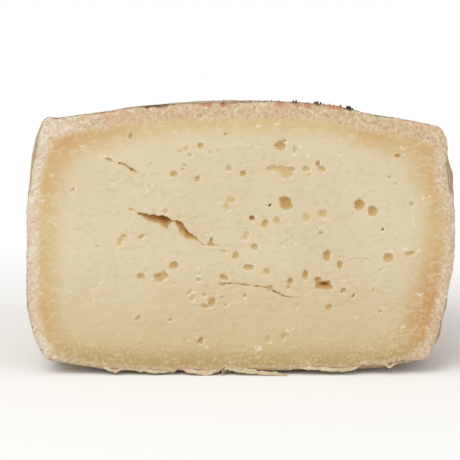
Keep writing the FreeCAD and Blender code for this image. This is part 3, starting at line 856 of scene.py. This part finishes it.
def stainTop(tree, coords, colour):
    # reddish blush and grey mould where the piece's own attributes ask for them
    fine = drawPatterns(tree, coords, {"fine": (2.4, 4.0, 0.75, 0.0, 0, 1)})["fine"]
    for name, tint, most in (("blush", "#c98063", 0.8), ("mould", "#54473f", 0.85)):
        amount = addNode(tree, "ShaderNodeAttribute", attribute_name=name).outputs["Fac"]
        spread = addNode(tree, "ShaderNodeMath", {0: amount, 1: fine}, operation="ADD")
        colour = stain(tree, colour, spread, 0.82, 1.12, most, tint)
    return colour


def driedRind():
    # Brushed and dried natural rind, washed now and then in a cellar: matt tan with cream
    # bloom in its hollows, grey-violet mould stains and a few dark spots.
    material, tree = newMaterial("driedCheeseRind")
    coords = addNode(tree, "ShaderNodeTexCoord").outputs["Object"]
    drawn = drawPatterns(tree, coords, rindPatterns)
    crust = drawn["crust"]
    ground = addNode(tree, "ShaderNodeValToRGB", {"Fac": drawn["ground"]})
    fillRamp(ground, [(0.32, "#c19862"), (0.47, "#cfab75"), (0.6, "#d9bb88"), (0.72, "#dec79c")])
    colour = stain(tree, ground, drawn["pink"], 0.5, 0.72, 0.4, "#cb9570")

    # it was wiped round and round, so its tones lie in short level streaks
    level = addNode(tree, "ShaderNodeMapping", {"Vector": coords, "Scale": (1, 1, 4.5)})
    wiped = drawPatterns(tree, level, {"wiped": (17, 5.0, 0.62, 0.3, 0, 1)})["wiped"]
    colour = stain(tree, colour, wiped, 0.5, 0.32, 0.6, "#ae8454")
    colour = stain(tree, colour, wiped, 0.5, 0.68, 0.45, "#e2cfa8")
    colour = stain(tree, colour, crust, 0.48, 0.3, 0.6, "#97703f")

    # cream bloom, then grey mould with small dark flecks in it
    layers = [
        (crust, 0.45, drawn["bloom"], 0.68, 0.9, 0.8, "#e8ddc4"),
        (drawn["mouldFine"], 0.3, drawn["mould"], 0.68, 0.84, 0.5, "#958473"),
    ]
    for fine, share, broad, start, end, most, tint in layers:
        spread = addNode(tree, "ShaderNodeMath", {0: fine, 1: share, 2: broad}, operation="MULTIPLY_ADD")
        colour = stain(tree, colour, spread, start, end, most, tint)
    flecks = addNode(tree, "ShaderNodeMath", {0: spread, 1: 0.7, 2: drawn["mouldFine"]},
                     operation="MULTIPLY_ADD")
    colour = stain(tree, colour, flecks, 1.08, 1.2, 0.65, "#5b493c")

    # beside the cut the raised crust is painted paler: painted light, so the rind's shaded edge there does
    # not read as a dark line
    paintedRimLight = addNode(tree, "ShaderNodeAttribute", attribute_name="chalk").outputs["Fac"]
    raised = addNode(tree, "ShaderNodeMapRange", {"Value": crust, "From Min": 0.3, "From Max": 0.6})
    worn = addNode(tree, "ShaderNodeMath", {0: paintedRimLight, 1: raised}, operation="MULTIPLY")
    colour = addNode(tree, "ShaderNodeMix", {0: worn, 6: colour, 7: plainHex("#e2ccab")},
                     data_type="RGBA").outputs[2]
    colour = stainTop(tree, coords, colour)

    pores = addNode(tree, "ShaderNodeTexVoronoi", {"Vector": coords, "Scale": 1000.0 / 4.2})
    pitted = addNode(tree, "ShaderNodeMapRange", {"Value": pores.outputs["Distance"], "From Min": 0.05,
                                                  "From Max": 0.3})
    height = addNode(tree, "ShaderNodeMath", {0: crust, 1: 2.2, 2: pitted}, operation="MULTIPLY_ADD")
    bump = addNode(tree, "ShaderNodeBump", {"Strength": 0.9, "Distance": 0.0012, "Height": height})
    shader = addNode(tree, "ShaderNodeBsdfPrincipled", {
        "Base Color": colour, "Roughness": 0.82, "Specular IOR Level": 0.25, "IOR": 1.45,
        "Normal": bump})
    addNode(tree, "ShaderNodeOutputMaterial", {"Surface": shader})
    return material


def cutPaste():
    # Aged sheep's-milk paste, cut with a knife: smooth, slightly waxy ivory that dries to
    # olive tan and orange tan near the rind, with paler curd grains and warm hollows.
    material, tree = newMaterial("agedCheesePaste")
    coords = addNode(tree, "ShaderNodeTexCoord").outputs["Object"]
    gap, hollow, warmth, scuffAndLipHighlight, dryDepth = [
        addNode(tree, "ShaderNodeAttribute", attribute_name=name).outputs["Fac"]
        for name in ("rindGap", "hollow", "warmth", "scuffAndLipHighlight", "dryDepth")]
    up = addNode(tree, "ShaderNodeSeparateXYZ", {0: coords}).outputs["Z"]
    drawn = drawPatterns(tree, coords, pastePatterns)
    curd = drawn["curd"]
    ivory = addNode(tree, "ShaderNodeValToRGB", {"Fac": drawn["tone"]})
    fillRamp(ivory, [(0.3, "#dbcdaa"), (0.5, "#decfae"), (0.7, "#e1d4b4")])
    # darker towards the bottom: partly the paste's own tone, partly painted shade of the light falling from
    # above
    colour = stain(tree, ivory, up, 0.055, 0.004, 0.9, "#cfbd90")
    # pale streaks along the knife's path: partly paler smeared paste, partly painted sheen of the knife lines
    colour = stain(tree, colour, drawn["knifeStreaksAndSheen"], 0.5, 0.68, 0.15, "#e9dfc6")
    colour = stain(tree, colour, curd, 0.5, 0.32, 0.14, "#c9b88f")

    # the dried edge: olive over the base, straw at the left, orange at the corners
    driedTint = addNode(tree, "ShaderNodeMix", {0: warmth, 6: plainHex("#d6be88"), 7: plainHex("#cb9a5d")},
                        data_type="RGBA").outputs[2]
    low = addNode(tree, "ShaderNodeMapRange", {"Value": up, "From Min": 0.022, "From Max": 0.006,
                                               "To Max": 0.9}, interpolation_type="SMOOTHSTEP")
    driedTint = addNode(tree, "ShaderNodeMix", {0: low, 6: driedTint, 7: plainHex("#b79d66")},
                        data_type="RGBA").outputs[2]
    wander = addNode(tree, "ShaderNodeMath", {0: drawn["wander"], 1: 8.0, 2: -4.0}, operation="MULTIPLY_ADD")
    gapHere = addNode(tree, "ShaderNodeMath", {0: gap, 1: wander}, operation="ADD")
    driedGap = addNode(tree, "ShaderNodeMath", {0: gapHere, 1: dryDepth}, operation="DIVIDE")
    dried = addNode(tree, "ShaderNodeMapRange", {"Value": driedGap, "From Min": 1.25, "From Max": 0.1,
                                                 "To Max": 0.95}, interpolation_type="SMOOTHSTEP")
    colour = addNode(tree, "ShaderNodeMix", {0: dried, 6: colour, 7: driedTint}, data_type="RGBA").outputs[2]

    # Pale curd grains, about 1 mm, thickest low down and towards the sides, then smears of
    # softer curd that the knife drew out of the dried edge. Both gather in clusters.
    lowGrain = addNode(tree, "ShaderNodeMapRange", {"Value": up, "From Min": 0.07, "From Max": 0.008,
                                                    "To Max": 0.10})
    driedGrain = addNode(tree, "ShaderNodeMath", {0: dried, 1: 0.05, 2: lowGrain}, operation="MULTIPLY_ADD")
    nearEdge = addNode(tree, "ShaderNodeMapRange", {"Value": gap, "From Min": 27.0, "From Max": 5.0,
                                                    "To Max": 0.14},
                       interpolation_type="SMOOTHSTEP")
    gathered = [
        (drawn["grains"], 0.3, driedGrain, (0.8, 0.96, 0.5, "#e6dabb"), (0.56, 0.44, 0.2, "#cdb88a")),
        (drawn["smears"], 0.35, nearEdge, (0.82, 1.0, 0.42, "#e6d9b8"), (0.66, 0.5, 0.22, "#c3a26a")),
    ]
    for pattern, share, where, *tints in gathered:
        clustered = addNode(tree, "ShaderNodeMath", {0: drawn["clusters"], 1: share, 2: where},
                            operation="MULTIPLY_ADD")
        thick = addNode(tree, "ShaderNodeMath", {0: pattern, 1: clustered}, operation="ADD")
        for tint in tints:
            colour = stain(tree, colour, thick, *tint)

    # scuffs and the painted lip highlights round the eyes are ragged: the curd breaks them up
    ragged = addNode(tree, "ShaderNodeMath", {0: drawn["grains"], 1: 1.8}, operation="MULTIPLY")
    scuffAndHighlightEdge = addNode(tree, "ShaderNodeMath", {0: scuffAndLipHighlight, 1: 0.6, 2: ragged}, operation="MULTIPLY_ADD")
    # pale scuffs, and the painted highlight on the lower right lips of the eyes
    colour = stain(tree, colour, scuffAndHighlightEdge, 1.2, 1.6, 0.8, "#eee5ce")

    # hollows: inside an eye the paste is warmer and darker the deeper it lies, and brown deep in a crack;
    # partly the paste's own moister colour, partly painted shade and bounce light of the hollow
    inside = addNode(tree, "ShaderNodeMapRange", {"Value": hollow, "From Max": 6.0})
    hollowToneAndShade = addNode(tree, "ShaderNodeValToRGB", {"Fac": inside})
    fillRamp(hollowToneAndShade, [(0.0, "#dccba2"), (0.1, "#d9c292"), (0.24, "#d1b278"), (0.36, "#cca567"),
                          (0.62, "#cfa05a"), (0.95, "#c9924b")])
    hollowed = addNode(tree, "ShaderNodeMapRange", {"Value": hollow, "From Min": 0.06, "From Max": 0.6,
                                                    "To Max": 0.95})
    colour = addNode(tree, "ShaderNodeMix", {0: hollowed, 6: colour, 7: hollowToneAndShade},
                     data_type="RGBA").outputs[2]

    # the rind's cut edge
    rindColour, rindHeight = cutRindLook(tree, coords)
    inRind = addNode(tree, "ShaderNodeMapRange", {"Value": gapHere, "From Min": 2.6, "From Max": -1.8},
                     interpolation_type="SMOOTHSTEP")
    colour = addNode(tree, "ShaderNodeMix", {0: inRind, 6: colour, 7: rindColour},
                     data_type="RGBA").outputs[2]
    colour = stainTop(tree, coords, colour)

    pasteHeight = addNode(tree, "ShaderNodeMath", {0: curd, 1: 0.16, 2: -0.08}, operation="MULTIPLY_ADD")
    height = addNode(tree, "ShaderNodeMix", {0: inRind, 2: pasteHeight, 3: rindHeight}, data_type="FLOAT")
    bump = addNode(tree, "ShaderNodeBump", {"Strength": 0.8, "Distance": 0.0014, "Height": height})
    shader = addNode(tree, "ShaderNodeBsdfPrincipled", {
        "Base Color": colour, "Roughness": 0.55, "Specular IOR Level": 0.3, "IOR": 1.45,
        "Normal": bump, "Subsurface Weight": 0.15, "Subsurface Radius": (1.0, 0.66, 0.36),
        "Subsurface Scale": 0.002})
    addNode(tree, "ShaderNodeOutputMaterial", {"Surface": shader})
    return material


# dry mould grains and dirt of the cellar shelf: dull grey-brown, a few nearly black
mouldCrumbs = {
    "name": "driedMouldCrumbs",
    "patterns": {"tone": (6, 2.0, 0.6, 0.0, 0, 1), "grit": (0.4, 4.0, 0.6, 0.0, 0, 1)},
    "tones": [(0.4, "#3f342d"), (0.5, "#75645a"), (0.6, "#a2917c")],
    "bump": {"Strength": 0.6, "Distance": 0.0003},
    "surface": {"Roughness": 0.9, "Specular IOR Level": 0.2},
}
# thin torn rind, paler than the rest because it is dry right through
tornRind = {
    "name": "tornRindPeel",
    "patterns": {"tone": (1.8, 5.0, 0.7, 0.0, 0, 1), "grit": (0.9, 4.0, 0.6, 0.0, 0, 1)},
    "tones": [(0.35, "#c9ae88"), (0.5, "#dbc7a5"), (0.65, "#ebdec5")],
    "bump": {"Strength": 0.7, "Distance": 0.0005},
    "surface": {"Roughness": 0.75, "Specular IOR Level": 0.25},
}


def dryScrap(look):
    # small dry scraps: matt, mottled and gritty
    material, tree = newMaterial(look["name"])
    coords = addNode(tree, "ShaderNodeTexCoord").outputs["Object"]
    drawn = drawPatterns(tree, coords, look["patterns"])
    tone = addNode(tree, "ShaderNodeValToRGB", {"Fac": drawn["tone"]})
    fillRamp(tone, look["tones"])
    bump = addNode(tree, "ShaderNodeBump", {**look["bump"], "Height": drawn["grit"]})
    shader = addNode(tree, "ShaderNodeBsdfPrincipled", {
        "Base Color": tone, "Normal": bump, **look["surface"]})
    addNode(tree, "ShaderNodeOutputMaterial", {"Surface": shader})
    return material


# ---- torn rind that hangs from the foot of the cut

# each peel from its root: across, up, half width, then how far it stands in front of the cut
peels = [
    [(-8, 3.6, 0.9, -0.6), (-3, 3.2, 1.1, 0.2), (3, 2.4, 1.1, 0.7), (9, 1.7, 0.95, 1.0), (14, 1.3, 0.85, 1.2),
     (18.5, 0.9, 0.7, 1.3), (22, 0.55, 0.2, 1.3)],
    [(-29, 3.3, 0.4, -0.4), (-25, 2.6, 0.9, 0.2), (-20, 1.6, 1.15, 0.5), (-16.5, 1.35, 1.2, 0.5),
     (-12.5, 2.0, 0.9, 0.3), (-9.5, 3.0, 0.4, -0.4)],
    [(-8.6, 3.4, 0.4, -0.3), (-8.8, 2.2, 0.32, 0.3), (-8.4, 1.1, 0.26, 0.5), (-8.6, 0.3, 0.12, 0.5)],
    [(27, 3.9, 0.4, -0.4), (32, 3.5, 0.7, 0.2), (38, 3.2, 0.8, 0.3), (44, 2.9, 0.9, 0.4), (50, 3.0, 0.8, 0.3),
     (54, 3.6, 0.6, 0.1), (57, 4.6, 0.3, -0.4)],
    [(-66, 4.2, 0.3, -0.4), (-62, 2.9, 0.7, 0.2), (-59, 2.4, 0.8, 0.4), (-55, 2.9, 0.3, -0.3)],
    [(-53, 3.0, 0.3, -0.3), (-46, 2.3, 0.6, 0.2), (-40, 2.0, 0.6, 0.3), (-34, 2.0, 0.4, -0.3)],
    [(68, 5.6, 0.3, -0.3), (70.5, 4.7, 0.8, 0.3), (72.5, 5.2, 0.5, 0.2), (74, 6.3, 0.3, -0.4)],
]
peelFinish = {"cuts": 5, "thickness": 0.55, "ground": 0.08}  # mm, and the least height above the table


def makePeels(material):
    bm = bmesh.new()
    for stations in peels:
        across, up, half, proud = stations[0]
        lower = bmesh.ops.create_vert(bm, co=(across, cutY - proud, up - half))["vert"][0]
        upper = bmesh.ops.create_vert(bm, co=(across, cutY - proud + 0.3, up + half))["vert"][0]
        edge = bmesh.ops.contextual_create(bm, geom=[lower, upper])["edges"][0]
        for across, up, half, proud in stations[1:]:
            geom = bmesh.ops.extrude_edge_only(bm, edges=[edge])["geom"]
            verts = [item for item in geom if isinstance(item, bmesh.types.BMVert)]
            verts.sort(key=lambda vert: vert.co.z)
            edge = next(item for item in geom
                        if isinstance(item, bmesh.types.BMEdge) and set(item.verts) == set(verts))
            verts[0].co = (across, cutY - proud, up - half)
            verts[1].co = (across, cutY - proud + 0.3, up + half)
    bmesh.ops.recalc_face_normals(bm, faces=bm.faces[:])
    bmesh.ops.subdivide_edges(bm, edges=bm.edges[:], cuts=peelFinish["cuts"], use_grid_fill=True)
    bmesh.ops.solidify(bm, geom=bm.faces[:], thickness=peelFinish["thickness"])
    bmesh.ops.recalc_face_normals(bm, faces=bm.faces[:])
    for vert in bm.verts:
        x, y, z = vert.co
        vert.co.x += 0.35 * grain(x, y, z, 1.3, 3)
        vert.co.y += 0.4 * grain(x, y, z, 2.1, 6)
        vert.co.z += 0.7 * grain(x, y, z, 2.4, 9) + 0.35 * grain(x, y, z, 1.2, 4)
        vert.co.z = max(vert.co.z, peelFinish["ground"])
    finishPiece(bm, "tornRindPeels", [material])


# ---- grains on the top

# beside the cut: across, mm behind it, size
topGrains = [(1, 1.2, 0.4), (4.5, 1.0, 0.45), (8.5, 1.4, 0.4), (11, 1.0, 0.35), (12.5, 1.6, 0.4),
             (14, 0.9, 0.45), (24.2, 1.2, 0.55), (25.6, 1.8, 0.6), (27, 1.2, 0.35), (34, 1.2, 0.6),
             (35.2, 1.6, 0.8), (36.8, 1.8, 0.6), (38.2, 1.4, 0.35), (41, 1.6, 0.4), (43, 1.8, 0.35),
             (46, 1.2, 0.6), (49.2, 1.0, 0.75), (50.4, 1.4, 0.85), (51.6, 1.2, 0.5), (-8, 1.2, 0.35),
             (31, 1.2, 0.3), (17.5, 1.0, 0.4)]
scattered = {
    "seed": 11,
    "count": 190,  # with those beside the cut
    "smallest": 0.2,
    "largest": 0.5,
    "ring": 93,  # mm from the axis that they reach
    "drift": 22,  # mm, size of the loose drifts
    "upright": 0.5,  # how much taller those beside the cut stand
}


def makeGrains(tree, material):
    # mould grains sit on the rind, thickest in loose drifts on the top
    random.seed(scattered["seed"])
    places = [(x, cutY + back, size) for x, back, size in topGrains]
    while len(places) < scattered["count"]:
        x = random.uniform(-96, 96)
        y = random.uniform(axisY + 12, high.y - 4)
        inRing = math.hypot(x, y - axisY) < scattered["ring"]
        if inRing and grain(x, y, 0, scattered["drift"], 31) + random.uniform(-0.3, 0.3) > 0.12:
            places.append((x, y, random.uniform(scattered["smallest"], scattered["largest"])))
    bm = bmesh.new()
    for number, (x, y, size) in enumerate(places):
        hit = tree.ray_cast(Vector((x, y, wheelHeight + 20)), Vector((0, 0, -1)))[0]
        made = bmesh.ops.create_icosphere(bm, subdivisions=1, radius=size)["verts"]
        for vert in made:
            vert.co *= 1 + 0.5 * noise.noise(vert.co * 1.7 + Vector((number, 0, 0)))
        upright = scattered["upright"] if number < len(topGrains) else 0.0
        bmesh.ops.scale(bm, vec=(1, 1, random.uniform(0.6, 1.0) + upright), verts=made)
        bmesh.ops.translate(bm, vec=hit + Vector((0, 0, size * (0.25 + upright))), verts=made)
    finishPiece(bm, "topMouldGrains", [material])


rindMaterial = driedRind()
pasteMaterial = cutPaste()
print("materials made")
cheese, surface = makeCheese([rindMaterial, pasteMaterial])
print("cheese finished")
makePeels(dryScrap(tornRind))
print("torn rind hung")
makeGrains(surface, dryScrap(mouldCrumbs))
print("grains scattered")
